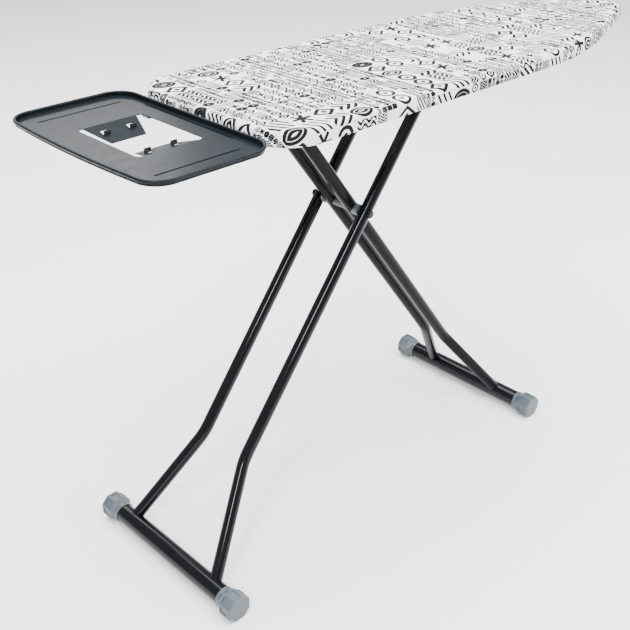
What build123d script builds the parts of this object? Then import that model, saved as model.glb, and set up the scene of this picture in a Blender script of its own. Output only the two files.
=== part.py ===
from build123d import *
import math
import os

# Folding ironing board: padded deck on a steel frame, scissor legs, foot bars and an iron rest tray.
# Millimetres. +X points to the nose, +Y to the left side, +Z up. The floor is Z = 0.

# ---- overall sizes -------------------------------------------------------
deck_top = 881.0            # ironing surface above the floor
deck_length = 1195.0
deck_width = 390.0
tray_length = 232.0         # along X
tray_width = 392.0
tray_gap = 8.0              # from the tray's rim to the wide end of the deck

# ---- deck ----------------------------------------------------------------
taper_angle = 20.0          # of each side of the nose
nose_radius = 79.0
shoulder_radius = 800.0
wide_corner = 85.0
cover_wall = 2.0
pad_thickness = 8.0
mesh_thickness = 1.2
frame_depth = 14.0
frame_width = 14.0
frame_corner = 5.0
frame_wall = 1.5
skin_gap = 0.5              # cover to pad, mesh and frame at their sides
hem_width = 30.0            # cover turned in under the frame
mesh_margin = 24.0
mesh_cell = (44.0, 22.0)    # one diamond opening
mesh_pitch = (54.0, 28.0)

# ---- legs ----------------------------------------------------------------
leg_length = 1005.0         # foot bar axis to top axis
pivot_from_foot = 751.0
foot_axis = 25.0            # foot bar axis above the floor
foot_from_tray_front = 115.0    # outer foot bar behind the front of the tray
hinge_drop = 30.0           # top axes below the lowest face of the deck
leg_diameter = 24.0
leg_wall = 1.5
leg_bend_radius = 120.0
outer_leg_y = 60.0
outer_foot_y = 129.0
inner_leg_y = 27.0
inner_foot_y = 99.0
bend_from_foot = 230.0
fold_angle = 49.0           # turn of each leg frame from standing to folded flat

# ---- foot bars and caps --------------------------------------------------
bar_diameter = 38.0
bar_wall = 1.6
bar_length = 314.0
cap_length = 46.0
cap_spigot = 22.0           # plug inside the bar
cap_wall = 3.0
cap_collar = 8.0
cap_collar_step = 1.5       # collar proud of the bar
cap_flare = 10.0            # from the collar to the full head
cap_chamfer = 2.0
cap_panel_depth = 1.4
cap_panel_side = 3.5        # from the panel to the facet's edge
cap_panel_start = 2.0
cap_panel_end = 7.0
cap_facets = 8

# ---- axles, rod and pivot ------------------------------------------------
axle_diameter = 16.0
bush_diameter = 20.0
bush_length = 12.0
rod_length = 188.0
axle_length = 190.0
pivot_diameter = 8.0
pivot_spacer = 22.0
turn_gap = 0.3              # between faces of parts that turn past each other
bore_gap = 0.1              # radial, between an axle and the hole it turns in

# ---- sheet work under the deck -------------------------------------------
sheet = 2.0
channel_depth = 12.0
hinge_channel_width = 60.0
rail_channel_width = 40.0
rail_gap_y = 96.0           # inner face of each rail's web
rail_flange = 16.0
rail_rear = 72.0            # rail beyond the standing rod axis
rail_front = 48.0           # rail beyond the folded rod axis
slide_gap = 0.4             # bush to flange
stop_gap = 2.5
stop_length = 14.0
bracket_y = 84.0
bracket_sheet = 3.0
bracket_reach = 16.0        # metal around the axle
bracket_foot = 26.0
screw_spread = 36.0         # between the two screws of a bracket
screw_head = 2.4

# ---- height latch --------------------------------------------------------
latch_shaft_diameter = 8.0
latch_shaft_rise = 23.0     # above the rod axis
latch_thickness = 4.0
latch_height = 19.0
latch_clear = 0.6           # tooth tips above the rod with the latch lifted
notch_depth = 7.0
notch_count = 6
notch_pitch = 23.0
notch_gap = 0.8             # radial, notch to rod
latch_relief = 3.0          # past the last tooth, so that the folded rod clears the bar
latch_end = 14.0            # bar beyond the standing rod axis
latch_boss = 6.0            # half height of the bar at its shaft
latch_from_rail_end = 16.0
shaft_overhang = 8.0
clip_radius = 7.0
clip_thickness = 1.2
lever_y = 148.0
lever_reach = 96.0
lever_drop = 14.0
lever_half = 6.5
lever_boss = 9.0            # lever beyond its shaft
lever_thickness = 4.0
grip_length = 56.0
grip_width = 16.0
grip_height = 18.0
grip_round = 5.0
spring_wire = 1.6
spring_turns = 6
spring_pitch = 2.0

# ---- iron rest tray ------------------------------------------------------
tray_drop = 6.0             # rim below the ironing surface
tray_depth = 8.0
tray_sheet = 1.4
tray_corner = 42.0
tray_bow = 6.0
tray_roll = 2.6             # radius of the rolled rim
opening_length = 120.0
opening_width = 160.0
opening_from_front = 66.0
opening_corner = 9.0
flap_root = 100.0           # width where it leaves the floor
flap_tip = 64.0
flap_run = 50.0             # inwards from the opening's side
flap_fall = 14.0            # of its tip, below the floor
window_size = 12.0          # lanced windows, two in each flap
window_run = 21.0           # window's middle from the flap's root
window_spread = 48.0        # between the windows' middles
lug_height = 7.0            # of the lug that stands up from each window
groove_width = 4.0
groove_depth = 1.2
side_groove_y = 153.0
side_groove_length = 156.0
end_groove_length = 226.0
end_groove_inset = 15.0
arm_y = 106.0
arm_width = 16.0
arm_thickness = 6.0
arm_slope = 0.5             # run of the arm's joggle for its rise
rivet_diameter = 6.0
front_rivet_inset = 24.0    # behind the opening's front
rear_rivet_inset = 8.0      # in front of the arm's joggle

# ---- worked-out places ---------------------------------------------------
overall = tray_length + tray_gap + deck_length
tray_front = -overall / 2
tray_back = tray_front + tray_length
deck_rear = tray_back + tray_gap
nose = deck_rear + deck_length
pad_top = deck_top - cover_wall
mesh_top = pad_top - pad_thickness
frame_top = mesh_top - mesh_thickness
frame_bottom = frame_top - frame_depth
deck_bottom = frame_bottom - cover_wall
frame_inset = cover_wall + skin_gap
channel_bottom = frame_top - channel_depth
hinge_z = deck_bottom - hinge_drop
standing = math.degrees(math.asin((hinge_z - foot_axis) / leg_length))
folded = standing - fold_angle
above_pivot = leg_length - pivot_from_foot
foot_half = pivot_from_foot * math.cos(math.radians(standing))
top_half = above_pivot * math.cos(math.radians(standing))
outer_foot_x = tray_front + foot_from_tray_front
pivot_x = outer_foot_x + foot_half
pivot_z = foot_axis + pivot_from_foot * math.sin(math.radians(standing))
inner_foot_x = pivot_x + foot_half
hinge_x = pivot_x - top_half
rod_x = pivot_x + top_half
rod_x_folded = hinge_x + 2 * above_pivot * math.cos(math.radians(folded))
rail_start = rod_x - rail_rear
rail_end = rod_x_folded + rail_front
latch_x = rail_end - latch_from_rail_end
latch_z = hinge_z + latch_shaft_rise
arm_top = deck_top - tray_drop - tray_depth - tray_sheet
tray_top = deck_top - tray_drop
tray_floor = tray_top - tray_depth
opening_x = tray_front + opening_from_front + opening_length / 2

# ---- colours -------------------------------------------------------------
white = (0.9, 0.9, 0.9)
cream = (0.85, 0.83, 0.75)
black = (0.1, 0.1, 0.12)
dark_grey = (0.2, 0.2, 0.22)
slate = (0.35, 0.38, 0.41)
blue_grey = (0.45, 0.5, 0.55)
steel = (0.6, 0.6, 0.62)

nodes = {}


def keep(name, shape, colour):
    shape.label = name
    shape.color = Color(*colour)
    nodes[name] = shape


def box(x0, x1, y0, y1, z0, z1):
    middle = ((x0 + x1) / 2, (y0 + y1) / 2, (z0 + z1) / 2)
    return Pos(*middle) * Box(x1 - x0, y1 - y0, z1 - z0)


def rod_y(x, z, radius, y0, y1):
    return Pos(x, (y0 + y1) / 2, z) * Rot(90, 0, 0) * Cylinder(radius, abs(y1 - y0))


def rod_z(x, y, radius, z0, z1):
    return Pos(x, y, (z0 + z1) / 2) * Cylinder(radius, z1 - z0)


def tube_y(x, z, radius, bore, y0, y1):
    return rod_y(x, z, radius, y0, y1) - rod_y(x, z, bore, y0, y1)


def plate_y(points, y0, y1):
    """Plate between two Y planes, from (x, z) corners."""
    outline = Polyline(*[(x, z) for x, z in points], close=True)
    face = make_face(outline)
    return Pos(0, max(y0, y1), 0) * Rot(90, 0, 0) * extrude(face, abs(y1 - y0))


def strip_x(points, x0, x1):
    """Bar along X, from (y, z) corners."""
    outline = Polyline(*[(y, z) for y, z in points], close=True)
    plane = Plane(origin=(x0, 0, 0), x_dir=(0, 1, 0), z_dir=(1, 0, 0))
    return extrude(plane * make_face(outline), x1 - x0)


def slab(outer, inner, z0, z1):
    """Upright slab between two heights, from a flat outline and its openings."""
    face = Face(outer, inner)
    if face.normal_at().Z < 0:
        face = -face
    return Pos(0, 0, z0) * extrude(face, z1 - z0)


# ---- deck outline --------------------------------------------------------
def deck_side(inset):
    """Points of one side of the outline moved in by inset: rear corner, shoulder and nose."""
    half = deck_width / 2 - inset
    slope = math.radians(taper_angle)
    centre = nose - nose_radius
    radius = nose_radius - inset
    touch = (centre + radius * math.sin(slope), radius * math.cos(slope))
    shoulder = touch[0] - (half - touch[1]) / math.tan(slope)
    reach = (shoulder_radius - inset) * math.tan(slope / 2)
    on_side = (shoulder - reach, half)
    on_taper = (shoulder + reach * math.cos(slope), half - reach * math.sin(slope))
    return half, touch, on_side, on_taper


def deck_wire(inset):
    half, touch, on_side, on_taper = deck_side(inset)
    slope = math.radians(taper_angle / 2)
    shoulder_r = shoulder_radius - inset
    mid = (on_side[0] + shoulder_r * math.sin(slope), half - shoulder_r * (1 - math.cos(slope)))
    rear = deck_rear + inset
    corner = wide_corner - inset
    turn = corner * (1 - math.cos(math.radians(45)))

    def flip(point):
        return point[0], -point[1]

    edges = [
        Line((rear + corner, half), on_side),
        ThreePointArc(on_side, mid, on_taper),
        Line(on_taper, touch),
        ThreePointArc(touch, (nose - inset, 0), flip(touch)),
        Line(flip(touch), flip(on_taper)),
        ThreePointArc(flip(on_taper), flip(mid), flip(on_side)),
        Line(flip(on_side), (rear + corner, -half)),
        ThreePointArc((rear + corner, -half), (rear + turn, -half + turn), (rear, -half + corner)),
        Line((rear, -half + corner), (rear, half - corner)),
        ThreePointArc((rear, half - corner), (rear + turn, half - turn), (rear + corner, half)),
    ]
    return Wire([e.edge() if hasattr(e, "edge") else e for e in edges])


def deck_slab(inset, z0, z1):
    return slab(deck_wire(inset), [], z0, z1)


def make_deck():
    cover = deck_slab(0, deck_bottom, deck_top) - deck_slab(cover_wall, frame_bottom, pad_top)
    cover = cover - deck_slab(hem_width, deck_bottom - 1, frame_bottom + 1)
    keep("cover", cover, white)
    keep("foam_pad", deck_slab(frame_inset, mesh_top, pad_top), cream)
    keep("mesh_panel", mesh_panel(), steel)
    ring = deck_slab(frame_inset, frame_bottom, frame_top)
    ring = ring - deck_slab(frame_inset + frame_width, frame_bottom, frame_top)
    core = deck_slab(frame_inset + frame_wall, frame_bottom + frame_wall, frame_top - frame_wall)
    core = core - deck_slab(frame_inset + frame_width - frame_wall, frame_bottom, frame_top)
    low = [e for e in ring.edges() if abs(e.center().Z - frame_bottom) < 0.01]
    core_low = [e for e in core.edges() if abs(e.center().Z - frame_bottom - frame_wall) < 0.01]
    ring = fillet(low, frame_corner) - fillet(core_low, frame_corner - frame_wall)
    keep("frame_tube", ring, dark_grey)


def half_width_at(x, inset):
    half, touch, on_side, on_taper = deck_side(inset)
    taper = touch[1] + (touch[0] - x) * math.tan(math.radians(taper_angle))
    return min(half, taper)


def mesh_panel():
    """Steel sheet with staggered diamond openings inside a plain border."""
    openings = []
    start = deck_rear + mesh_margin + mesh_cell[0]
    columns = int((nose - mesh_margin - nose_radius - start) / (mesh_pitch[0] / 2))
    for i in range(columns):
        x = start + i * mesh_pitch[0] / 2
        shift = mesh_pitch[1] / 2 if i % 2 else 0.0
        rows = int(deck_width / mesh_pitch[1]) + 1
        for j in range(-rows, rows + 1):
            y = j * mesh_pitch[1] + shift
            if abs(y) + mesh_cell[1] / 2 > half_width_at(x + mesh_cell[0] / 2, mesh_margin):
                continue
            if x < deck_rear + wide_corner and abs(y) > deck_width / 2 - wide_corner:
                continue
            a, b = mesh_cell[0] / 2, mesh_cell[1] / 2
            diamond = Polyline((x - a, y), (x, y - b), (x + a, y), (x, y + b), close=True)
            openings.append(Wire(diamond.edges()))
    return slab(deck_wire(frame_inset), openings, frame_top, mesh_top)


# ---- channels, rails and brackets under the deck -------------------------
def channel(x, width, depth):
    """Channel across the frame, open side up against the mesh."""
    low = frame_top - depth
    x0, x1 = x - width / 2, x + width / 2
    body = box(x0, x1, -deck_width, deck_width, low, frame_top)
    body = body - box(x0 + sheet, x1 - sheet, -deck_width, deck_width, low + sheet, frame_top + 1)
    room = deck_slab(frame_inset + frame_width, frame_bottom, frame_top)
    if low < frame_bottom + skin_gap:
        room = deck_slab(frame_inset + frame_width, frame_bottom + skin_gap, frame_top)
        room = room + deck_slab(hem_width + skin_gap, low - 1, frame_bottom + skin_gap)
    return body & room


def bolt_up(x, y, z0, z1):
    """Pan-head screw along Z with its head at the bottom."""
    shank = rod_z(x, y, rivet_diameter / 2, z0, z1)
    head = rod_z(x, y, rivet_diameter, z0 - screw_head, z0)
    return shank + head


def make_channels():
    keep("hinge_channel", channel(hinge_x, hinge_channel_width, channel_depth), dark_grey)
    rear_x = rail_start + rail_channel_width / 2
    front_x = rod_x_folded
    keep("rear_rail_channel", channel(rear_x, rail_channel_width, channel_depth), dark_grey)
    keep("front_rail_channel", channel(front_x, rail_channel_width, channel_depth), dark_grey)
    tray_channel = channel(tray_channel_x(), rail_channel_width, frame_top - deck_bottom + turn_gap)
    keep("tray_channel", tray_channel, dark_grey)


def tray_channel_x():
    return deck_rear + hem_width + rail_channel_width / 2 + 4.0


def rail(side):
    """Sheet rail: the rod's bush slides between the two lower flanges."""
    web, tip = side * rail_gap_y, side * (rail_gap_y - rail_flange)
    back = side * (rail_gap_y + sheet)
    low = hinge_z - bush_diameter / 2 - slide_gap
    high = hinge_z + bush_diameter / 2 + slide_gap
    points = [
        (back, low - sheet), (tip, low - sheet), (tip, low), (web, low),
        (web, high), (tip, high), (tip, high + sheet), (web, high + sheet),
        (web, channel_bottom - sheet), (tip, channel_bottom - sheet), (tip, channel_bottom),
        (back, channel_bottom),
    ]
    body = strip_x(points, rail_start, rail_end)
    hole = rod_y(latch_x, latch_z, latch_shaft_diameter / 2 + bore_gap, 0, side * 2 * rail_gap_y)
    return body - hole


def rail_stops(side):
    low = hinge_z - bush_diameter / 2 - slide_gap
    high = hinge_z + bush_diameter / 2 + slide_gap
    y0, y1 = sorted((side * (rail_gap_y - rail_flange + 1), side * rail_gap_y))
    rear = rod_x - bush_diameter / 2 - stop_gap
    front = rod_x_folded + bush_diameter / 2 + stop_gap
    starts = (rear - stop_length, front)
    return [box(x, x + stop_length, y0, y1, low, high) for x in starts]


def hinge_bracket(side):
    """Bent sheet: a foot under the channel and a round-ended cheek that carries the axle."""
    y0, y1 = sorted((side * bracket_y, side * (bracket_y + bracket_sheet)))
    wide = hinge_channel_width / 2 - sheet
    cheek = plate_y([(hinge_x - wide, channel_bottom), (hinge_x - bracket_reach, hinge_z),
                     (hinge_x + bracket_reach, hinge_z), (hinge_x + wide, channel_bottom)], y0, y1)
    cheek = cheek + rod_y(hinge_x, hinge_z, bracket_reach, y0, y1)
    f0, f1 = sorted((side * bracket_y, side * (bracket_y + bracket_foot)))
    foot = box(hinge_x - wide, hinge_x + wide, f0, f1, channel_bottom - bracket_sheet, channel_bottom)
    bore = rod_y(hinge_x, hinge_z, axle_diameter / 2 + bore_gap, y0 - 1, y1 + 1)
    return cheek + foot - bore


def make_rails():
    for side, word in ((1, "left"), (-1, "right")):
        keep("guide_rail_" + word, rail(side), dark_grey)
        keep("hinge_bracket_" + word, hinge_bracket(side), dark_grey)
    stops = [s for side in (1, -1) for s in rail_stops(side)]
    keep("rail_stops", Compound(children=stops), blue_grey)
    screws = []
    rail_y = rail_gap_y - rail_flange / 2
    for side in (1, -1):
        for x in (rail_start + rail_channel_width / 2, rod_x_folded):
            screws.append(bolt_through(x, side * rail_y, channel_bottom - sheet))
        for dx in (-screw_spread / 2, screw_spread / 2):
            y = side * (bracket_y + (bracket_sheet + bracket_foot) / 2)
            screws.append(bolt_through(hinge_x + dx, y, channel_bottom - bracket_sheet))
    keep("deck_screws", Compound(children=screws), steel)


def bolt_through(x, y, z0):
    return bolt_up(x, y, z0, channel_bottom + sheet)


# ---- legs ----------------------------------------------------------------
def leg(top_x, foot_x, top_y, foot_y, side):
    """Bent tube from a top axis to a foot bar, coped to both and drilled for the pivot."""
    along = Vector(foot_x - top_x, 0, foot_axis - hinge_z).normalized()
    top = Vector(top_x, side * top_y, hinge_z)
    knee = top + along * (leg_length - bend_from_foot)
    foot = Vector(foot_x, side * foot_y, foot_axis)
    path = FilletPolyline(top, knee, foot, radius=leg_bend_radius)
    plane = Plane(origin=top, z_dir=along)
    ring = plane * (Circle(leg_diameter / 2) - Circle(leg_diameter / 2 - leg_wall))
    tube = sweep(ring, path=path)
    tube = tube - rod_y(top_x, hinge_z, axle_diameter / 2, -deck_width, deck_width)
    return tube - rod_y(foot_x, foot_axis, bar_diameter / 2, -deck_width, deck_width)


def foot_bar(x):
    half = bar_length / 2
    return tube_y(x, foot_axis, bar_diameter / 2, bar_diameter / 2 - bar_wall, -half, half)


def facet_face(apothem, y):
    """Regular cap section across Y with a flat at the bottom."""
    circle = apothem / math.cos(math.pi / cap_facets)
    plane = Plane(origin=(0, y, 0), x_dir=(1, 0, 0), z_dir=(0, 1, 0))
    return plane * RegularPolygon(circle, cap_facets, rotation=180 / cap_facets)


def foot_cap(x, side):
    """Plug, collar, flare and faceted head with a recessed panel in each facet but the lowest."""
    start = bar_length / 2
    neck = start + cap_collar
    shoulder = neck + cap_flare
    end = start + cap_length
    bore = bar_diameter / 2 - bar_wall
    collar = bar_diameter / 2 + cap_collar_step
    cap = tube_y(0, 0, bore, bore - cap_wall, start - cap_spigot, start)
    cap = cap + rod_y(0, 0, collar, start, neck)
    cap = cap + loft([facet_face(collar - 1, neck), facet_face(foot_axis, shoulder)])
    head = extrude(facet_face(foot_axis, shoulder), end - shoulder, dir=(0, 1, 0))
    rim = [e for e in head.edges() if abs(e.center().Y - end) < 0.01]
    cap = cap + chamfer(rim, cap_chamfer)
    half = foot_axis * math.tan(math.pi / cap_facets) - cap_panel_side
    panel = box(-half, half, shoulder + cap_panel_start, end - cap_panel_end,
                -foot_axis, -foot_axis + cap_panel_depth)
    for i in range(1, cap_facets):
        cap = cap - Rot(0, 360 / cap_facets * i, 0) * panel
    if side < 0:
        cap = mirror(cap, about=Plane.XZ)
    return Pos(x, 0, foot_axis) * cap


def make_feet():
    for word, x in (("outer", outer_foot_x), ("inner", inner_foot_x)):
        keep(word + "_foot_bar", foot_bar(x), black)
        for side, hand in ((1, "left"), (-1, "right")):
            keep(word + "_foot_cap_" + hand, foot_cap(x, side), blue_grey)


def make_legs():
    pin = rod_y(pivot_x, pivot_z, pivot_diameter / 2, -deck_width, deck_width)
    loose = rod_y(pivot_x, pivot_z, pivot_diameter / 2 + bore_gap, -deck_width, deck_width)
    for side, hand in ((1, "left"), (-1, "right")):
        outer = leg(rod_x, outer_foot_x, outer_leg_y, outer_foot_y, side) - loose
        inner = leg(hinge_x, inner_foot_x, inner_leg_y, inner_foot_y, side) - pin
        keep("outer_leg_" + hand, outer, black)
        keep("inner_leg_" + hand, inner, black)
    for name, x, length in (("sliding_rod", rod_x, rod_length), ("hinge_axle", hinge_x, axle_length)):
        keep(name, rod_y(x, hinge_z, axle_diameter / 2, -length / 2, length / 2), steel)
    bushes = []
    collars = []
    outer_r, bore_r = bush_diameter / 2, axle_diameter / 2
    for side in (1, -1):
        y1 = side * rod_length / 2
        bushes.append(tube_y(rod_x, hinge_z, outer_r, bore_r, y1 - side * bush_length, y1))
        y2 = side * (bracket_y + bracket_sheet + turn_gap)
        collars.append(tube_y(hinge_x, hinge_z, outer_r, bore_r, y2, side * axle_length / 2))
    keep("rod_bushes", Compound(children=bushes), blue_grey)
    keep("axle_collars", Compound(children=collars), steel)


def make_pivot():
    radius = leg_diameter / 2
    inner_face = inner_leg_y + radius
    outer_face = outer_leg_y - radius
    end = outer_leg_y + radius
    spacers = []
    heads = []
    tip = end + turn_gap
    for side, hand in ((1, "left"), (-1, "right")):
        spacer = tube_y(pivot_x, pivot_z, pivot_spacer / 2, pivot_diameter / 2,
                        side * inner_leg_y, side * (outer_face - turn_gap))
        spacer = spacer - solid_leg_line(side)
        keep("pivot_spacer_" + hand, spacer, blue_grey)
        head = rod_y(pivot_x, pivot_z, pivot_diameter, side * tip, side * (tip + 4))
        heads.append(fillet([e for e in head.edges() if abs(abs(e.center().Y) - tip - 4) < 0.01], 2.5))
    keep("pivot_rod", rod_y(pivot_x, pivot_z, pivot_diameter / 2, -tip, tip), steel)
    keep("pivot_caps", Compound(children=heads), steel)
    sleeve = tube_y(pivot_x, pivot_z, pivot_diameter, pivot_diameter / 2, -inner_leg_y, inner_leg_y)
    for side in (1, -1):
        sleeve = sleeve - solid_leg_line(side)
    keep("pivot_sleeve", sleeve, steel)


def solid_leg_line(side):
    """Straight solid bar on the inner leg's line, to cut saddles that sit on the tube."""
    along = Vector(inner_foot_x - hinge_x, 0, foot_axis - hinge_z).normalized()
    plane = Plane(origin=Vector(pivot_x, side * inner_leg_y, pivot_z) - along * 60, z_dir=along)
    return extrude(plane * Circle(leg_diameter / 2), 120)


# ---- height latch --------------------------------------------------------
def latch_bar():
    """Toothed bar over the sliding rod: each notch drops over the rod at one height."""
    tip = hinge_z + axle_diameter / 2 + latch_clear
    start = rod_x - latch_end
    toothed = rod_x + (notch_count - 1) * notch_pitch + axle_diameter
    neck = latch_x - 2 * latch_boss
    nose_x = latch_x + latch_boss + sheet
    points = [(start, tip), (toothed, tip), (toothed + latch_relief, tip + latch_relief),
              (neck, tip + latch_relief), (neck, latch_z - latch_boss), (nose_x, latch_z - latch_boss),
              (nose_x, latch_z + latch_boss), (neck, latch_z + latch_boss), (start, tip + latch_height)]
    bar = plate_y(points, -latch_thickness / 2, latch_thickness / 2)
    width = axle_diameter / 2 + notch_gap
    drop = math.asin(notch_depth / (latch_x - rod_x))
    for i in range(notch_count):
        arm_x, arm_z = rod_x + i * notch_pitch - latch_x, hinge_z - latch_z
        x = latch_x + arm_x * math.cos(drop) + arm_z * math.sin(drop)
        z = latch_z - arm_x * math.sin(drop) + arm_z * math.cos(drop)
        bar = bar - rod_y(x, z, width, -latch_thickness, latch_thickness)
        bar = bar - box(x - width, x + width, -latch_thickness, latch_thickness, tip - latch_height, z)
    return bar - rod_y(latch_x, latch_z, latch_shaft_diameter / 2, -latch_thickness, latch_thickness)


def spring():
    radius = latch_shaft_diameter / 2 + 0.6 + spring_wire / 2
    helix = Helix(pitch=spring_pitch, height=spring_pitch * spring_turns, radius=radius)
    start = helix @ 0
    profile = Plane(origin=start, z_dir=helix % 0) * Circle(spring_wire / 2)
    coil = sweep(profile, path=helix, is_frenet=True)
    return Pos(latch_x, rail_gap_y - rail_flange - 4, latch_z) * Rot(90, 0, 0) * coil


def lever():
    """Flat arm on the end of the latch shaft and the grip moulded over its tip."""
    tip_x, tip_z = latch_x - lever_reach, latch_z - lever_drop
    bore = latch_shaft_diameter / 2
    top, bottom = latch_z + lever_half, latch_z - lever_half
    points = [(latch_x + lever_boss, top), (latch_x + lever_boss, bottom), (tip_x, tip_z - lever_half),
              (tip_x, tip_z + lever_half), (latch_x - lever_boss, top)]
    arm = plate_y(points, lever_y - lever_thickness, lever_y)
    tilt = math.degrees(math.atan(lever_drop / lever_reach))
    grip = Box(grip_length, grip_width, grip_height)
    grip = fillet(grip.edges().filter_by(Axis.Y), grip_round)
    grip = Pos(tip_x + grip_length / 4, lever_y - lever_thickness / 2, tip_z) * Rot(0, -tilt, 0) * grip
    return arm - rod_y(latch_x, latch_z, bore, lever_y - 2 * lever_thickness, lever_y + 1), grip - arm


def make_latch():
    shaft_end = -rail_gap_y - shaft_overhang
    keep("latch_bar", latch_bar(), steel)
    keep("latch_shaft", rod_y(latch_x, latch_z, latch_shaft_diameter / 2, shaft_end, lever_y), steel)
    arm, grip = lever()
    keep("lever_arm", arm, dark_grey)
    keep("lever_grip", grip, black)
    keep("latch_spring", spring(), steel)
    clips = []
    for side in (1, -1):
        y0 = side * (rail_gap_y + sheet + turn_gap)
        y1 = y0 + side * clip_thickness
        clips.append(tube_y(latch_x, latch_z, clip_radius, latch_shaft_diameter / 2, y0, y1))
    keep("shaft_clips", Compound(children=clips), steel)


# ---- iron rest tray ------------------------------------------------------
def tray_wire(inset):
    front, back = tray_front + inset, tray_back - inset
    half = tray_width / 2 - inset
    corner = tray_corner - inset
    turn = corner * (1 - math.cos(math.radians(45)))
    edge = front + tray_bow
    edges = [
        Line((edge + corner, half), (back - corner, half)),
        ThreePointArc((back - corner, half), (back - turn, half - turn), (back, half - corner)),
        Line((back, half - corner), (back, -half + corner)),
        ThreePointArc((back, -half + corner), (back - turn, -half + turn), (back - corner, -half)),
        Line((back - corner, -half), (edge + corner, -half)),
        ThreePointArc((edge + corner, -half), (edge + turn, -half + turn), (edge, -half + corner)),
        ThreePointArc((edge, -half + corner), (front, 0), (edge, half - corner)),
        ThreePointArc((edge, half - corner), (edge + turn, half - turn), (edge + corner, half)),
    ]
    return Wire([e.edge() for e in edges])


def tray_slab(inset, z0, z1):
    return slab(tray_wire(inset), [], z0, z1)


def groove(x, y, length, along_x, grow, z0, z1):
    width = groove_width + 2 * grow
    size = (length + 2 * grow, width) if along_x else (width, length + 2 * grow)
    face = RectangleRounded(size[0], size[1], width / 2 - 0.01)
    return Pos(x, y, z0) * extrude(face, z1 - z0)


def flap(side):
    """Tongue bent down into the opening like a shallow ramp, with two windows and their lugs."""
    root = opening_width / 2
    tip = root - flap_run
    middle = tray_floor - tray_sheet / 2
    corners = [(-flap_root / 2, root + tray_sheet), (-flap_tip / 2, tip),
               (flap_tip / 2, tip), (flap_root / 2, root + tray_sheet)]
    outline = Polyline(*[(opening_x + x, y) for x, y in corners], close=True)
    column = Pos(0, 0, tray_floor - 2 * flap_fall) * extrude(make_face(outline), 3 * flap_fall)
    slope = flap_fall / flap_run
    upper, lower = middle + tray_sheet / 2, middle - tray_sheet / 2
    ramp = [(root + tray_sheet, upper), (root, upper), (tip, upper - flap_fall),
            (tip, lower - flap_fall), (root, lower), (root + tray_sheet, lower)]
    tongue = strip_x(ramp, opening_x - flap_root, opening_x + flap_root) & column
    near = root - window_run - window_size / 2
    far = near + window_size
    for dx in (-window_spread / 2, window_spread / 2):
        x0, x1 = opening_x + dx - window_size / 2, opening_x + dx + window_size / 2
        tongue = tongue - box(x0, x1, near, far, lower - 2 * flap_fall, upper + 1)
        seat = middle - slope * (root - near)
        tongue = tongue + box(x0, x1, near - tray_sheet, near, seat, seat + lug_height)
    return tongue if side > 0 else mirror(tongue, about=Plane.XZ)


def tray_bead():
    """Rolled rim: a ring with rounded edges."""
    low = tray_top - 2 * tray_roll
    ring = tray_slab(0, low, tray_top) - tray_slab(2 * tray_roll, low, tray_top)
    edges = [e for e in ring.edges() if abs(abs(e.center().Z - low - tray_roll) - tray_roll) < 0.01]
    return fillet(edges, tray_roll - 0.2)


def groove_places():
    """Middle, length and direction of each pressed groove."""
    middle = (tray_front + tray_back + tray_bow) / 2
    sides = [(middle, side * side_groove_y, side_groove_length, True) for side in (1, -1)]
    return sides + [(tray_back - end_groove_inset, 0, end_groove_length, False)]


def pressed_tray():
    low = tray_floor - tray_sheet
    wall_in = tray_roll + tray_sheet / 2
    tray = tray_slab(wall_in - tray_sheet / 2, low, tray_top - tray_roll)
    tray = tray - tray_slab(wall_in + tray_sheet / 2, tray_floor, tray_top)
    tray = tray + tray_bead()
    for x, y, length, along_x in groove_places():
        tray = tray + groove(x, y, length, along_x, tray_sheet, low - groove_depth, low)
        tray = tray - groove(x, y, length, along_x, 0, tray_floor - groove_depth, tray_floor)
    face = RectangleRounded(opening_length, opening_width, opening_corner)
    tray = tray - Pos(opening_x, 0, low - 1) * extrude(face, tray_sheet + 2)
    for side in (1, -1):
        tray = tray + flap(side)
        for x in arm_rivets():
            tray = tray - rod_z(x, side * arm_y, rivet_diameter / 2, low - 1, tray_floor + 1)
    return tray


def make_tray():
    keep("iron_rest_tray", pressed_tray(), slate)
    rivets = []
    screws = []
    for side, hand in ((1, "left"), (-1, "right")):
        keep("tray_arm_" + hand, tray_arm(side), dark_grey)
        for x in arm_rivets():
            rivets.append(bolt_up(x, side * arm_y, arm_top - arm_thickness, tray_floor))
        screws.append(bolt_up(tray_channel_x(), side * arm_y, low_arm() - arm_thickness, low_arm() + sheet))
    keep("tray_rivets", Compound(children=rivets), steel)
    keep("tray_screws", Compound(children=screws), steel)


def arm_rivets():
    return opening_x - opening_length / 2 + front_rivet_inset, arm_rise()[1] - rear_rivet_inset


def arm_rise():
    """Where the arm's joggle starts under the frame and where it meets the tray's floor."""
    start = tray_back - end_groove_inset - 2 * groove_width
    return start, start - arm_slope * (arm_top - low_arm())


def low_arm():
    """Top of the arm where it passes under the cover's hem."""
    return deck_bottom - turn_gap


def tray_arm(side):
    """Flat bar from under the frame, up behind the tray's rim and along its floor."""
    inner = tray_channel_x() + rail_channel_width / 2
    low = low_arm()
    rise0, rise1 = arm_rise()
    tip = opening_x - opening_length / 2 - arm_width / 2
    upper = [(inner, low), (rise0, low), (rise1, arm_top), (tip, arm_top)]
    lower = [(tip, arm_top - arm_thickness), (rise1 + sheet, arm_top - arm_thickness),
             (rise0 + sheet, low - arm_thickness), (inner, low - arm_thickness)]
    y0, y1 = sorted((side * (arm_y - arm_width / 2), side * (arm_y + arm_width / 2)))
    arm = plate_y(upper + lower, y0, y1)
    for x in arm_rivets() + (tray_channel_x(),):
        arm = arm - rod_z(x, side * arm_y, rivet_diameter / 2, low - 2 * arm_thickness, arm_top + 1)
    return arm


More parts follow.
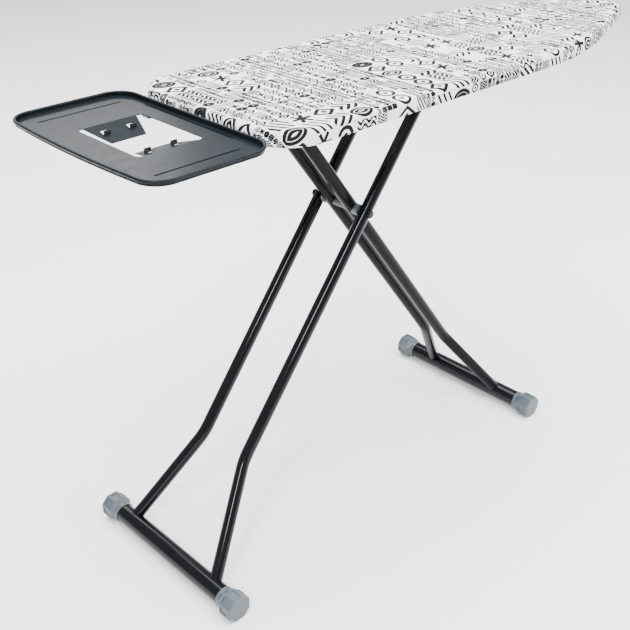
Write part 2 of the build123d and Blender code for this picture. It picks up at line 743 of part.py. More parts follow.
def drill():
    """Holes in the sheet work, so that each screw stands in its own hole."""
    drilled = {"tray_channel": "tray_screws"}
    for name in ("hinge_channel", "rear_rail_channel", "front_rail_channel", "guide_rail_left",
                 "guide_rail_right", "hinge_bracket_left", "hinge_bracket_right"):
        drilled[name] = "deck_screws"
    for name, screws in drilled.items():
        keep(name, nodes[name] - nodes[screws], dark_grey)


make_deck()
make_channels()
make_rails()
make_legs()
make_feet()
make_pivot()
make_latch()
make_tray()
drill()

os.makedirs("parts", exist_ok=True)
for name, shape in nodes.items():
    export_step(shape, os.path.join("parts", name + ".step"))
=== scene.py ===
"""Looks for the folding ironing board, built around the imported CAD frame. Metres; +X is the nose, +Z up."""
import math

import bmesh
import bpy
from mathutils import Matrix, Vector, noise


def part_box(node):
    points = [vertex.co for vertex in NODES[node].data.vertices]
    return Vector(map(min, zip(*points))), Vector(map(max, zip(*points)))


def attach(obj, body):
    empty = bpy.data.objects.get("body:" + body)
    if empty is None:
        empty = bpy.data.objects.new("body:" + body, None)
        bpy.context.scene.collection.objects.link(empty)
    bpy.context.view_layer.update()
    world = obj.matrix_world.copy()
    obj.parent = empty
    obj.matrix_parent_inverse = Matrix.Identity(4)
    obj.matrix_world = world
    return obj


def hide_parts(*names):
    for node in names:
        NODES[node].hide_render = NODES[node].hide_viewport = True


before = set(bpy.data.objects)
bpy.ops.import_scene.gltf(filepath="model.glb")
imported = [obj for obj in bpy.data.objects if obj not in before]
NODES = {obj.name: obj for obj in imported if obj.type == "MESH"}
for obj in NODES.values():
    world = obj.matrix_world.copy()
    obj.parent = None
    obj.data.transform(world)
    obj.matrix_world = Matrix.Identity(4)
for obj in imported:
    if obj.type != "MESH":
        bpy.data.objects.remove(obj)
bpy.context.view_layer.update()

# ---- deck outline, as the frame has it ---------------------------------------
DECK_LOW, DECK_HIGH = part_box("cover")
TAPER = math.radians(20.0)
NOSE_RADIUS = 0.079
SHOULDER_RADIUS = 0.8
WIDE_CORNER = 0.085
OUTLINE_STEP = 0.006
WIDE_CORNER_STEPS = 24
SHOULDER_STEPS = 40
NOSE_STEPS = 20

# ---- cover cloth and pad -------------------------------------------------------
CLOTH = 0.0009              # thickness
EDGE_ROUND = 0.009          # top edge of the padded deck
LOWER_ROUND = 0.0035
HEM = 0.027                 # turned in under the frame
HEM_CORD = 0.0015           # radius of the cord in the hem's casing
CORD_TURN = 1.7 * math.pi   # how far the hem wraps round that cord
PAD_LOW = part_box("foam_pad")[0]
PAD_ROUND = 0.0055
PAD_GAP = 0.0007            # under the cover, for the ripples of both
TOP_RINGS = 16
EDGE_STEPS = 6
SKIRT_STEPS = 5
HEM_STEPS = 6
CORD_STEPS = 8
WELD = 1e-6

# ---- ripples: rates are noise cells in a metre, and the rest are metres ---------
SWELL_RATE = 9
SWELL_HEIGHT = 0.0004
SWELL_FADE = 6              # power of the fall towards the rim
WAVE_RATE = 14
FINE_WAVE_RATE = 37
WAVE_OUT = 0.0006
WAVE_UP = 0.0005
WAVE_GROWS = 0.03           # run over which the waves grow from the rim
TUCK_RATE = 160
TUCK_RUN_RATE = 30
TUCK_HEIGHT = 0.0007
HEM_FROM = 0.036            # run at which the tucks start
HEM_GROWS = 0.02            # run over which the tucks grow
DENT_RATE = 25
DENT_HEIGHT = 0.0003

# ---- print: rows of marks ------------------------------------------------------
PRINT_ROW = 0.048           # height of the largest printed marks' rows
PRINT_WIDTH = 0.75          # width of a mark's cell as a share of its height
PRINT_FILL = 0.86           # under 1 draws the marks larger in their cells
PRINT_SHIFT = 2.0           # keeps the cells' numbers positive
RUN_CELLS = 4               # largest cells in a run of one height
BIG_SHARE = 0.34            # of the runs, in rows of the largest height
MIDDLE_SHARE = 0.6          # of the other runs, in rows of half that height
MIDDLE_SLICE = 7.0          # keeps the two draws apart
HEIGHT_SEED = 400           # keeps the draws of the three heights apart
EMPTY_SHARE = 0.07          # of the cells
BIG_STROKE = 0.095          # strokes and halves are in half cell heights
MIDDLE_STROKE = 0.12
SMALL_STROKE = 0.16
STROKE_SPREAD = 0.035
MARK_HALF_HEIGHT = 0.8
MARK_HALF_WIDTH = 0.64

# ---- print: the marks, in half cell heights -------------------------------------
DOT_RADIUS = 0.06
RING_RADIUS = 0.5
DIAMOND_SIDE = (0.6, 0.82)  # direction across a side
DIAMOND_REACH = 0.42
WAVE_MARK_RATE = 9.0
WAVE_MARK_SWING = 0.14
WAVE_MARK_PITCH = 0.36
STAR_FOLD = math.pi / 6
STAR_RADIUS = 0.55
ARCH_CENTRE = 0.55
ARCH_RADIUS = 0.65
ARCH_GAP = 0.2
HATCH_SLOPE = 0.6
HATCH_PITCH = 0.5
CHEVRON_SLOPE = 1.1
CHEVRON_PITCH = 0.6
CHEVRON_SQUEEZE = 0.7
LEAF_CENTRE = 0.45
LEAF_RADIUS = 0.76
LEAF_GAP = 0.13

# ---- weave and stitches ----------------------------------------------------------
THREAD_PITCH = 0.0008
STITCH_PITCH = 0.0035
STITCH_LENGTH = 0.0024
STITCH_RUN = 0.047          # run of the seam, from the rim
STITCH_WIDTH = 0.0005

# ---- camera and studio -----------------------------------------------------
CAMERA_AT = (-1.3896, -1.1966, 1.3640)
CAMERA_YAW = 44.40        # degrees from +Y towards +X
CAMERA_PITCH = 29.85      # degrees below level
CAMERA_ROLL = 0.34
LENS = 55.57
SENSOR = 36.0
WORLD_STRENGTH = 0.9
FLOOR_SIZE = 12
FLOOR_WHITE = 0.97
FLOOR_ROUGHNESS = 0.9
LIGHTS = (
    # name, place, what it faces, size, watts
    ("overhead", (0.2, -0.2, 4.0), (0, 0, 0), (5.0, 5.0), 640),
    ("key", (-2.6, -1.4, 2.6), (0, 0, 0.6), (0.5, 1.3), 100),
    ("side", (1.6, -3.4, 1.9), (0, 0, 0.6), (0.25, 2.2), 75),
    ("rear", (0.6, 3.0, 2.6), (0, 0, 0.6), (2.0, 1.2), 40),
)


# ---- deck outline and skins -------------------------------------------------------
def arc(centre, radius, start, end, count):
    """Points on an arc and the outward direction at each, the end point left to the next stretch."""
    points = []
    for i in range(count):
        angle = start + (end - start) * i / count
        outward = Vector((math.cos(angle), math.sin(angle)))
        points.append((centre + radius * outward, outward))
    return points


def straight(start, end, outward):
    """The same for a straight stretch."""
    count = max(2, round((end - start).length / OUTLINE_STEP))
    return [(start.lerp(end, i / count), outward.copy()) for i in range(count)]


def deck_outline():
    """(point, outward direction) round the deck, from the middle of the wide end to the nose and back."""
    rear, nose, half = DECK_LOW.x, DECK_HIGH.x, DECK_HIGH.y
    slope = Vector((math.sin(TAPER), math.cos(TAPER)))
    nose_at = Vector((nose - NOSE_RADIUS, 0))
    touch = nose_at + slope * NOSE_RADIUS
    corner_at = touch.x - (half - touch.y) / math.tan(TAPER)
    reach = SHOULDER_RADIUS * math.tan(TAPER / 2)
    shoulder = Vector((corner_at - reach, half))
    lower = Vector((corner_at + reach * math.cos(TAPER), half - reach * math.sin(TAPER)))
    wide_at = Vector((rear + WIDE_CORNER, half - WIDE_CORNER))
    side = straight(Vector((rear, 0)), Vector((rear, wide_at.y)), Vector((-1, 0)))
    side += arc(wide_at, WIDE_CORNER, math.pi, math.pi / 2, WIDE_CORNER_STEPS)
    side += straight(Vector((wide_at.x, half)), shoulder, Vector((0, 1)))
    shoulder_centre = shoulder - Vector((0, SHOULDER_RADIUS))
    side += arc(shoulder_centre, SHOULDER_RADIUS, math.pi / 2, math.pi / 2 - TAPER, SHOULDER_STEPS)
    side += straight(lower, touch, slope)
    side += arc(nose_at, NOSE_RADIUS, math.pi / 2 - TAPER, 0, NOSE_STEPS)
    mirrored = [(Vector((p.x, -p.y)), Vector((n.x, -n.y))) for p, n in reversed(side[1:])]
    tip = (Vector((nose, 0)), Vector((1, 0)))
    return side + [tip] + mirrored


def spine(point):
    """The point of the deck's middle line that the top's rings shrink to."""
    half = DECK_HIGH.y
    return Vector((min(max(point.x, DECK_LOW.x + half), DECK_HIGH.x - NOSE_RADIUS), 0))


def shell(name, profile, top_z, ripple, closed=False):
    """A skin round the deck outline. profile is (inset, height, run) from the top's rim outwards and down.

    ripple moves each point, and closed adds a bottom. The first UV map is the cloth laid flat, in metres, and
    the second is (way round, run), for hems and seams.
    """
    outline = deck_outline()
    count = len(outline)
    way = [0.0]
    for (a, _), (b, _) in zip(outline, outline[1:]):
        way.append(way[-1] + (b - a).length)
    rim = profile[0][0]
    rings = []
    for ring in range(1, TOP_RINGS + 1):
        share = ring / TOP_RINGS
        rings.append([(spine(p).lerp(p - n * rim, share), top_z, 0.0, share, p, n) for p, n in outline])
    for inset, height, run in profile[1:]:
        rings.append([(p - n * inset, height, run, 1.0, p, n) for p, n in outline])
    bm = bmesh.new()
    flat_uv = bm.loops.layers.uv.new("flat")
    edge_uv = bm.loops.layers.uv.new("edge")
    layer = []
    for ring in rings:
        row = []
        for i, (place, height, run, share, p, n) in enumerate(ring):
            lift = ripple(place, way[i], run, share, n)
            vertex = bm.verts.new(Vector((place.x, place.y, height)) + lift)
            cut = place if run == 0 else p + n * (run - rim)
            row.append((vertex, (cut.x, cut.y), (way[i], run)))
        layer.append(row)

    def face(corners):
        made = bm.faces.new([c[0] for c in corners])
        made.smooth = True
        for loop, corner in zip(made.loops, corners):
            loop[flat_uv].uv = corner[1]
            loop[edge_uv].uv = corner[2]

    for inner, outer in zip(layer, layer[1:]):
        for i in range(count):
            j = (i + 1) % count
            face([inner[i], inner[j], outer[j], outer[i]])
    close_spine(layer[0], face)
    if closed:
        close_spine(layer[-1], face)
    bmesh.ops.remove_doubles(bm, verts=bm.verts, dist=WELD)
    bmesh.ops.recalc_face_normals(bm, faces=bm.faces)
    mesh = bpy.data.meshes.new(name)
    bm.to_mesh(mesh)
    piece = bpy.data.objects.new(name, mesh)
    bpy.context.scene.collection.objects.link(piece)
    return piece


def close_spine(row, face):
    """Strip between the two sides of a ring, so that the skin has no hole along the middle line."""
    count = len(row)
    half = count // 2
    for i in range(half):
        a, b = row[i], row[i + 1]
        c, d = row[(count - i - 1) % count], row[(count - i) % count]
        corners = []
        for corner in (a, b, c, d):
            if all(corner[0] is not other[0] for other in corners):
                corners.append(corner)
        if len(corners) > 2:
            face(corners)


def round_edge(rim, top, radius, start_run, outwards):
    """Quarter round of a profile: from level outwards to upright, or from upright back inwards to level."""
    points = []
    for i in range(1, EDGE_STEPS + 1):
        a = math.pi / 2 * i / EDGE_STEPS
        if outwards:
            inset, height = rim - radius * math.sin(a), top - radius * (1 - math.cos(a))
        else:
            inset, height = rim + radius * (1 - math.cos(a)), top - radius * math.sin(a)
        points.append((inset, height, start_run + radius * a))
    return points


def thicken(piece, thickness):
    """Solidify, applied."""
    solid = piece.modifiers.new("cloth", "SOLIDIFY")
    solid.thickness = thickness
    solid.offset = -1
    bpy.context.view_layer.update()
    shown = piece.evaluated_get(bpy.context.evaluated_depsgraph_get())
    mesh = bpy.data.meshes.new_from_object(shown)
    piece.modifiers.clear()
    piece.data = mesh


# ---- pad ---------------------------------------------------------------------------
def pad_ripple(place, way, run, share, outward):
    """Shallow dents on top; the last number picks a slice of the noise."""
    dent = noise.noise(Vector((place.x * DENT_RATE, place.y * DENT_RATE, 7.7))) * DENT_HEIGHT
    return Vector((0, 0, dent if run == 0 else 0.0))


def make_pad():
    low = PAD_LOW.z
    high = DECK_HIGH.z - CLOTH - PAD_GAP
    inset = PAD_LOW.x - DECK_LOW.x
    side = (high - low - 2 * PAD_ROUND) / 2
    profile = [(inset + PAD_ROUND, high, 0.0)]
    profile += round_edge(inset + PAD_ROUND, high, PAD_ROUND, 0.0, True)
    middle = low + PAD_ROUND + side
    profile += [(inset, middle, PAD_ROUND * 2), (inset, low + PAD_ROUND, PAD_ROUND * 3)]
    profile += round_edge(inset, low + PAD_ROUND, PAD_ROUND, PAD_ROUND * 3, False)
    pad = shell("pad", profile, high, pad_ripple, closed=True)
    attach(pad, "deck")
    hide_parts("foam_pad")
    pad.data.materials.append(felt("pad_felt"))
    return pad


# ---- cover ---------------------------------------------------------------------------
def cover_profile():
    """Rim, skirt, turn under the frame, hem and its rolled casing."""
    top, low = DECK_HIGH.z, DECK_LOW.z
    points = [(EDGE_ROUND, top, 0.0)]
    points += round_edge(EDGE_ROUND, top, EDGE_ROUND, 0.0, True)
    skirt = top - EDGE_ROUND - low - LOWER_ROUND
    run = points[-1][2]
    for i in range(1, SKIRT_STEPS + 1):
        down = skirt * i / SKIRT_STEPS
        points.append((0.0, top - EDGE_ROUND - down, run + down))
    points += round_edge(0.0, low + LOWER_ROUND, LOWER_ROUND, points[-1][2], False)
    run = points[-1][2]
    for i in range(1, HEM_STEPS + 1):
        inward = (HEM - LOWER_ROUND) * i / HEM_STEPS
        points.append((LOWER_ROUND + inward, low, run + inward))
    run = points[-1][2]
    for i in range(1, CORD_STEPS + 1):
        a = CORD_TURN * i / CORD_STEPS
        points.append((HEM + HEM_CORD * math.sin(a), low + HEM_CORD * (1 - math.cos(a)), run + HEM_CORD * a))
    return points


def cover_ripple(place, way, run, share, outward):
    """Pull of the cloth: soft swells on top, a wavy lower edge and gathers in the hem.

    The plain numbers in the noise calls pick separate slices of it.
    """
    swell = noise.noise(Vector((place.x * SWELL_RATE, place.y * SWELL_RATE, 1.3)))
    if run == 0:
        return Vector((0, 0, swell * SWELL_HEIGHT * (1 - share ** SWELL_FADE)))
    skirt = min(run / WAVE_GROWS, 1.0)
    wave = noise.noise(Vector((way * WAVE_RATE, 4.1, 0)))
    wave += 0.5 * noise.noise(Vector((way * FINE_WAVE_RATE, 9.7, 0)))
    tuck = noise.noise(Vector((way * TUCK_RATE, 2.9, run * TUCK_RUN_RATE)))
    hem = max(0.0, min((run - HEM_FROM) / HEM_GROWS, 1.0))
    side = outward * (wave * WAVE_OUT * skirt * (1 - hem))
    return Vector((side.x, side.y, wave * WAVE_UP * skirt + tuck * TUCK_HEIGHT * hem))


def make_cover(pad):
    cover = shell("cover_cloth", cover_profile(), DECK_HIGH.z, cover_ripple)
    thicken(cover, CLOTH)
    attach(cover, "deck")
    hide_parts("cover")
    cover.data.materials.append(printed_cloth("cover_print"))
    return cover


# ---- camera and studio -----------------------------------------------------------------
def make_camera():
    data = bpy.data.cameras.new("camera")
    data.lens = LENS
    data.sensor_width = SENSOR
    camera = bpy.data.objects.new("camera", data)
    bpy.context.scene.collection.objects.link(camera)
    yaw, pitch, roll = (math.radians(a) for a in (CAMERA_YAW, CAMERA_PITCH, CAMERA_ROLL))
    ahead = Vector((math.sin(yaw) * math.cos(pitch), math.cos(yaw) * math.cos(pitch), -math.sin(pitch)))
    right = ahead.cross(Vector((0, 0, 1))).normalized()
    up = right.cross(ahead)
    level_right = right * math.cos(roll) + up * math.sin(roll)
    level_up = -right * math.sin(roll) + up * math.cos(roll)
    turn = Matrix((level_right, level_up, -ahead)).transposed().to_4x4()
    camera.matrix_world = Matrix.Translation(CAMERA_AT) @ turn
    bpy.context.scene.camera = camera


def area_light(name, at, aim, size, watts):
    data = bpy.data.lights.new(name, "AREA")
    data.shape = "RECTANGLE"
    data.size, data.size_y = size
    data.energy = watts
    light = bpy.data.objects.new(name, data)
    light.location = at
    light.rotation_euler = (Vector(aim) - Vector(at)).to_track_quat("-Z", "Y").to_euler()
    bpy.context.scene.collection.objects.link(light)


def make_studio():
    world = bpy.data.worlds.new("studio")
    bpy.context.scene.world = world
    world.use_nodes = True
    background = world.node_tree.nodes["Background"]
    background.inputs["Color"].default_value = grey(1.0)
    background.inputs["Strength"].default_value = WORLD_STRENGTH
    mesh = bpy.data.meshes.new("floor")
    bm = bmesh.new()
    bmesh.ops.create_grid(bm, x_segments=1, y_segments=1, size=FLOOR_SIZE)
    bm.to_mesh(mesh)
    floor = bpy.data.objects.new("floor", mesh)
    bpy.context.scene.collection.objects.link(floor)
    material, _, shader = new_material("floor_white")
    shader.inputs["Base Color"].default_value = grey(FLOOR_WHITE)
    shader.inputs["Roughness"].default_value = FLOOR_ROUGHNESS
    floor.data.materials.append(material)
    for light in LIGHTS:
        area_light(*light)


# ---- material helpers --------------------------------------------------------
def grey(value):
    return (value, value, value, 1)


class Build:
    """Small helper to wire node trees."""

    def __init__(self, tree):
        self.tree = tree

    def add(self, kind, **values):
        node = self.tree.nodes.new(kind)
        for key, value in values.items():
            setattr(node, key, value)
        return node

    def link(self, source, target):
        self.tree.links.new(source, target)

    def feed(self, socket, value):
        """Sets a socket to a number, or links another node's output to it."""
        if isinstance(value, (int, float)):
            socket.default_value = value
        else:
            self.link(value, socket)

    def place(self):
        return self.add("ShaderNodeTexCoord").outputs["Object"]

    def math(self, operation, *values):
        node = self.add("ShaderNodeMath", operation=operation)
        for socket, value in zip(node.inputs, values):
            self.feed(socket, value)
        return node.outputs[0]

    def noise(self, vector, scale, detail=2.0, rough=0.5):
        node = self.add("ShaderNodeTexNoise")
        node.inputs["Scale"].default_value = scale
        node.inputs["Detail"].default_value = detail
        node.inputs["Roughness"].default_value = rough
        self.link(vector, node.inputs["Vector"])
        return node.outputs["Fac"]

    def ramp(self, value, low, low_colour, high, high_colour):
        node = self.add("ShaderNodeValToRGB")
        for stop, at, colour in zip(node.color_ramp.elements, (low, high), (low_colour, high_colour)):
            stop.position = at
            stop.color = colour
        self.link(value, node.inputs["Fac"])
        return node.outputs["Color"]

    def span(self, value, low, high, to_low, to_high):
        node = self.add("ShaderNodeMapRange")
        for key, number in (("From Min", low), ("From Max", high), ("To Min", to_low), ("To Max", to_high)):
            node.inputs[key].default_value = number
        self.link(value, node.inputs["Value"])
        return node.outputs["Result"]

    def bump(self, height, strength, distance, shader):
        node = self.add("ShaderNodeBump")
        node.inputs["Strength"].default_value = strength
        node.inputs["Distance"].default_value = distance
        self.link(height, node.inputs["Height"])
        self.link(node.outputs["Normal"], shader.inputs["Normal"])


def new_material(name):
    """A material, the helper for its nodes and its shader."""
    material = bpy.data.materials.new(name)
    material.use_nodes = True
    tree = material.node_tree
    return material, Build(tree), tree.nodes["Principled BSDF"]


def painted(name, colour, light, roughness, peel, gloss=0.5):
    """Paint or powder coat: mottle, roughness that varies and orange peel (scale, strength, height)."""
    material, b, shader = new_material(name)
    place = b.place()
    mottle = b.noise(place, 9.0, 3.0)
    b.link(b.ramp(mottle, 0.3, (*colour, 1), 0.7, (*light, 1)), shader.inputs["Base Color"])
    fine = b.noise(place, 60.0, 2.0)
    b.link(b.span(fine, 0.3, 0.7, roughness * 0.88, roughness * 1.14), shader.inputs["Roughness"])
    shader.inputs["Specular IOR Level"].default_value = gloss
    scale, strength, height = peel
    b.bump(b.noise(place, scale, 2.0), strength, height, shader)
    return material


def plated(name, value, roughness):
    """Zinc plate: faint stains that are darker and rougher."""
    material, b, shader = new_material(name)
    place = b.place()
    stain = b.noise(place, 30.0, 4.0)
    b.link(b.ramp(stain, 0.3, grey(value * 0.82), 0.72, grey(value)), shader.inputs["Base Color"])
    b.link(b.span(stain, 0.3, 0.7, roughness * 1.3, roughness * 0.8), shader.inputs["Roughness"])
    shader.inputs["Metallic"].default_value = 1.0
    b.bump(b.noise(place, 900.0, 1.0), 0.15, 0.0002, shader)
    return material


def moulded(name, colour, light, roughness):
    """Moulded plastic: fine spark texture and faint flow marks."""
    material, b, shader = new_material(name)
    place = b.place()
    flow = b.noise(place, 25.0, 3.0)
    b.link(b.ramp(flow, 0.35, (*colour, 1), 0.7, (*light, 1)), shader.inputs["Base Color"])
    b.link(b.span(flow, 0.3, 0.7, roughness * 0.9, roughness * 1.15), shader.inputs["Roughness"])
    b.bump(b.noise(place, 1400.0, 1.0), 0.25, 0.0002, shader)
    return material


def felt(name):
    """Needled felt of the pad, in fibres of two shades."""
    material, b, shader = new_material(name)
    fibre = b.noise(b.place(), 700.0, 5.0, 0.7)
    b.link(b.ramp(fibre, 0.3, (0.5, 0.48, 0.42, 1), 0.7, (0.72, 0.7, 0.63, 1)), shader.inputs["Base Color"])
    shader.inputs["Roughness"].default_value = 0.95
    shader.inputs["Sheen Weight"].default_value = 0.3
    b.bump(fibre, 0.5, 0.0006, shader)
    return material


# ---- printed cloth ---------------------------------------------------------------------
def cell_of(b, value, size):
    """Whole-number cell along one axis."""
    return b.math("FLOOR", b.math("DIVIDE", value, size))


def hash_of(b, x, y, z=0.0):
    """Three random values for a cell."""
    place = b.add("ShaderNodeCombineXYZ")
    for socket, value in zip(place.inputs, (x, y, z)):
        b.feed(socket, value)
    node = b.add("ShaderNodeTexWhiteNoise", noise_dimensions="3D")
    b.link(place.outputs[0], node.inputs["Vector"])
    split = b.add("ShaderNodeSeparateColor")
    b.link(node.outputs["Color"], split.inputs[0])
    return split.outputs[0], split.outputs[1], split.outputs[2]


def choose(b, test, if_true, if_false):
    """One of two values, by a test of 0 or 1."""
    node = b.add("ShaderNodeMix")
    b.link(test, node.inputs["Factor"])
    b.feed(node.inputs["A"], if_false)
    b.feed(node.inputs["B"], if_true)
    return node.outputs["Result"]


def length_of(b, x, y):
    return b.math("SQRT", b.math("ADD", b.math("MULTIPLY", x, x), b.math("MULTIPLY", y, y)))


def gap(b, value, at):
    """Distance of a value from a line."""
    return b.math("ABSOLUTE", b.math("SUBTRACT", value, at))


def stripes(b, value, pitch):
    """Distance of a value from the nearest of a row of lines."""
    return gap(b, b.math("PINGPONG", value, pitch), pitch / 2)


def centred(b, value):
    """Place in a cell, from -1 to 1."""
    return b.math("SUBTRACT", b.math("MULTIPLY", b.math("FRACT", value), 2), 1)


def mark_shapes(b, x, y):
    """Distance to the lines of each abstract mark. None is a letter."""
    ax = b.math("ABSOLUTE", x)
    ay = b.math("ABSOLUTE", y)
    radius = length_of(b, x, y)
    dot = b.math("SUBTRACT", radius, DOT_RADIUS)
    ring = b.math("MINIMUM", gap(b, radius, RING_RADIUS), dot)
    reach = b.math("ADD", b.math("MULTIPLY", ax, DIAMOND_SIDE[0]), b.math("MULTIPLY", ay, DIAMOND_SIDE[1]))
    diamond = b.math("MINIMUM", gap(b, reach, DIAMOND_REACH), dot)
    swing = b.math("MULTIPLY", b.math("SINE", b.math("MULTIPLY", x, WAVE_MARK_RATE)), WAVE_MARK_SWING)
    waves = stripes(b, b.math("ADD", y, swing), WAVE_MARK_PITCH)
    fold = b.math("PINGPONG", b.math("ARCTAN2", y, x), STAR_FOLD)
    spokes = b.math("MULTIPLY", radius, b.math("SINE", fold))
    star = b.math("MAXIMUM", spokes, b.math("SUBTRACT", radius, STAR_RADIUS))
    arch_radius = length_of(b, b.math("ADD", x, ARCH_CENTRE), y)
    nested = gap(b, gap(b, arch_radius, ARCH_RADIUS), ARCH_GAP)
    arches = b.math("MAXIMUM", nested, b.math("SUBTRACT", -ARCH_CENTRE, x))
    hatch = stripes(b, b.math("ADD", x, b.math("MULTIPLY", y, HATCH_SLOPE)), HATCH_PITCH)
    fall = b.math("ADD", x, b.math("MULTIPLY", ay, CHEVRON_SLOPE))
    chevrons = b.math("MULTIPLY", stripes(b, fall, CHEVRON_PITCH), CHEVRON_SQUEEZE)
    leaf_radius = length_of(b, x, b.math("ADD", ay, LEAF_CENTRE))
    leaf = gap(b, gap(b, leaf_radius, LEAF_RADIUS), LEAF_GAP)
    return [ring, diamond, waves, star, arches, hatch, chevrons, leaf]


def run_draw(b, u, v, row, *seed):
    """A random value for each run of marks of one row height."""
    return hash_of(b, cell_of(b, u, row), cell_of(b, v, row * PRINT_WIDTH * RUN_CELLS), *seed)[0]


def print_mask(b, u, v):
    """1 on the printed marks. Rows run across the deck in three heights, with marks in runs like words."""
    is_big = b.math("LESS_THAN", run_draw(b, u, v, PRINT_ROW), BIG_SHARE)
    is_middle = b.math("LESS_THAN", run_draw(b, u, v, PRINT_ROW / 2, MIDDLE_SLICE), MIDDLE_SHARE)
    height = choose(b, is_big, PRINT_ROW, choose(b, is_middle, PRINT_ROW / 2, PRINT_ROW / 4))
    row = b.math("DIVIDE", u, height)
    column = b.math("DIVIDE", v, b.math("MULTIPLY", height, PRINT_WIDTH))
    seed = b.math("MULTIPLY", height, HEIGHT_SEED)
    mark, weight, space = hash_of(b, b.math("FLOOR", row), b.math("FLOOR", column), seed)
    x = b.math("MULTIPLY", centred(b, row), PRINT_FILL)
    y = b.math("MULTIPLY", centred(b, column), PRINT_WIDTH * PRINT_FILL)
    shapes = mark_shapes(b, x, y)
    index = b.math("FLOOR", b.math("MULTIPLY", mark, len(shapes) - 0.001))
    line = 0.0
    for i, shape in enumerate(shapes):
        line = b.math("ADD", b.math("MULTIPLY", shape, b.math("COMPARE", index, i, 0.1)), line)
    bold = choose(b, is_big, BIG_STROKE, choose(b, is_middle, MIDDLE_STROKE, SMALL_STROKE))
    stroke = b.math("ADD", b.math("MULTIPLY", weight, STROKE_SPREAD), bold)
    inked = b.math("LESS_THAN", line, stroke)
    inside_x = b.math("LESS_THAN", b.math("ABSOLUTE", x), MARK_HALF_HEIGHT)
    inside_y = b.math("LESS_THAN", b.math("ABSOLUTE", y), MARK_HALF_WIDTH)
    kept = b.math("GREATER_THAN", space, EMPTY_SHARE)
    return b.math("MULTIPLY", b.math("MULTIPLY", inked, b.math("MULTIPLY", inside_x, inside_y)), kept)


def uv_parts(b, name):
    """A UV map and its two parts."""
    place = b.add("ShaderNodeUVMap", uv_map=name).outputs[0]
    split = b.add("ShaderNodeSeparateXYZ")
    b.link(place, split.inputs[0])
    return place, split.outputs[0], split.outputs[1]


def over(b, mask, under, colour):
    """A plain colour laid over another where the mask is 1."""
    node = b.add("ShaderNodeMix", data_type="RGBA")
    b.link(mask, node.inputs["Factor"])
    b.link(under, node.inputs["A"])
    node.inputs["B"].default_value = colour
    return node.outputs["Result"]


def printed_cloth(name):
    """Off-white plain weave with a black print; the hem underneath is stitched."""
    material, b, shader = new_material(name)
    flat, along, across = uv_parts(b, "flat")
    u = b.math("ADD", along, PRINT_SHIFT)
    v = b.math("ADD", across, PRINT_SHIFT)
    ink = print_mask(b, u, v)
    _, way, run = uv_parts(b, "edge")
    dash = b.math("LESS_THAN", b.math("PINGPONG", way, STITCH_PITCH), STITCH_LENGTH)
    stitch = b.math("MULTIPLY", dash, b.math("COMPARE", run, STITCH_RUN, STITCH_WIDTH))
    shade = b.noise(flat, 14.0, 3.0)
    cloth = b.ramp(shade, 0.3, (0.74, 0.75, 0.765, 1), 0.7, (0.82, 0.825, 0.83, 1))
    printed = over(b, ink, cloth, (0.004, 0.004, 0.005, 1))
    sewn = over(b, stitch, printed, (0.5, 0.5, 0.52, 1))
    b.link(sewn, shader.inputs["Base Color"])
    b.link(b.span(ink, 0, 1, 0.9, 0.8), shader.inputs["Roughness"])
    shader.inputs["Specular IOR Level"].default_value = 0.12
    threads = 2 * math.pi / THREAD_PITCH
    warp = b.math("SINE", b.math("MULTIPLY", u, threads))
    weft = b.math("SINE", b.math("MULTIPLY", v, threads))
    weave = b.math("ADD", b.math("MULTIPLY", warp, weft), b.noise(flat, 900.0, 2.0))
    b.bump(weave, 0.35, 0.0002, shader)
    return material


# ---- paint on the frame's own pieces -----------------------------------------------------
def put(material, *names):
    """Gives the named CAD nodes one material."""
    for name in names:
        node = NODES[name]
        node.data.materials.clear()
        node.data.materials.append(material)
        for polygon in node.data.polygons:
            polygon.material_index = 0


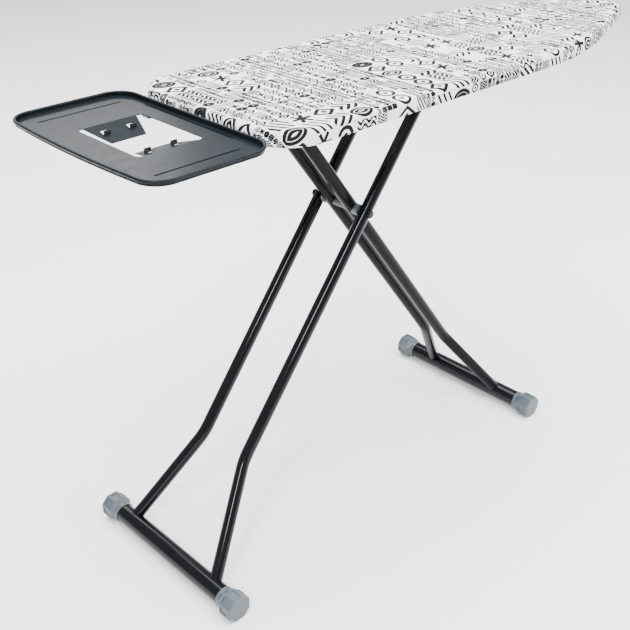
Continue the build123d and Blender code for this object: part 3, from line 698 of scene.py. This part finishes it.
def paint_cad():
    leg = painted("leg_gloss_paint", (0.0015, 0.0018, 0.0028), (0.003, 0.0035, 0.005), 0.1,
                  (220.0, 0.05, 0.0004), gloss=0.2)
    put(leg, "outer_leg_left", "outer_leg_right", "outer_foot_bar", "inner_foot_bar", "pivot_caps")
    matt_leg = painted("leg_charcoal_paint", (0.003, 0.0034, 0.0042), (0.005, 0.0056, 0.007), 0.2,
                       (220.0, 0.06, 0.0004), gloss=0.06)
    put(matt_leg, "inner_leg_left", "inner_leg_right")
    frame_paint = painted("frame_satin_paint", (0.004, 0.0045, 0.006), (0.008, 0.009, 0.011), 0.36,
                          (260.0, 0.15, 0.0004), gloss=0.2)
    put(frame_paint, "frame_tube", "hinge_channel", "rear_rail_channel", "front_rail_channel", "tray_channel",
        "tray_arm_left", "tray_arm_right", "guide_rail_left", "guide_rail_right", "hinge_bracket_left",
        "hinge_bracket_right", "lever_arm")
    mesh = painted("mesh_grey_paint", (0.2, 0.205, 0.215), (0.27, 0.275, 0.285), 0.42, (320.0, 0.15, 0.0003))
    put(mesh, "mesh_panel")
    tray = painted("tray_slate_paint", (0.0055, 0.008, 0.0105), (0.0075, 0.0105, 0.0135), 0.24,
                   (420.0, 0.03, 0.0003), gloss=0.075)
    put(tray, "iron_rest_tray", "tray_rivets")
    cap = moulded("cap_blue_grey_plastic", (0.055, 0.072, 0.086), (0.078, 0.1, 0.116), 0.4)
    put(cap, "outer_foot_cap_left", "outer_foot_cap_right", "inner_foot_cap_left", "inner_foot_cap_right",
        "pivot_spacer_left", "pivot_spacer_right", "rail_stops", "rod_bushes")
    sleeve = moulded("sleeve_grey_plastic", (0.045, 0.048, 0.052), (0.07, 0.075, 0.08), 0.42)
    put(sleeve, "pivot_sleeve")
    grip = moulded("grip_black_plastic", (0.018, 0.018, 0.02), (0.03, 0.03, 0.033), 0.5)
    put(grip, "lever_grip")
    zinc = plated("zinc_plate", 0.62, 0.32)
    put(zinc, "hinge_axle", "axle_collars", "pivot_rod", "sliding_rod", "latch_bar", "latch_shaft",
        "shaft_clips", "latch_spring", "deck_screws", "tray_screws")


make_studio()
make_camera()
paint_cad()
make_cover(make_pad())
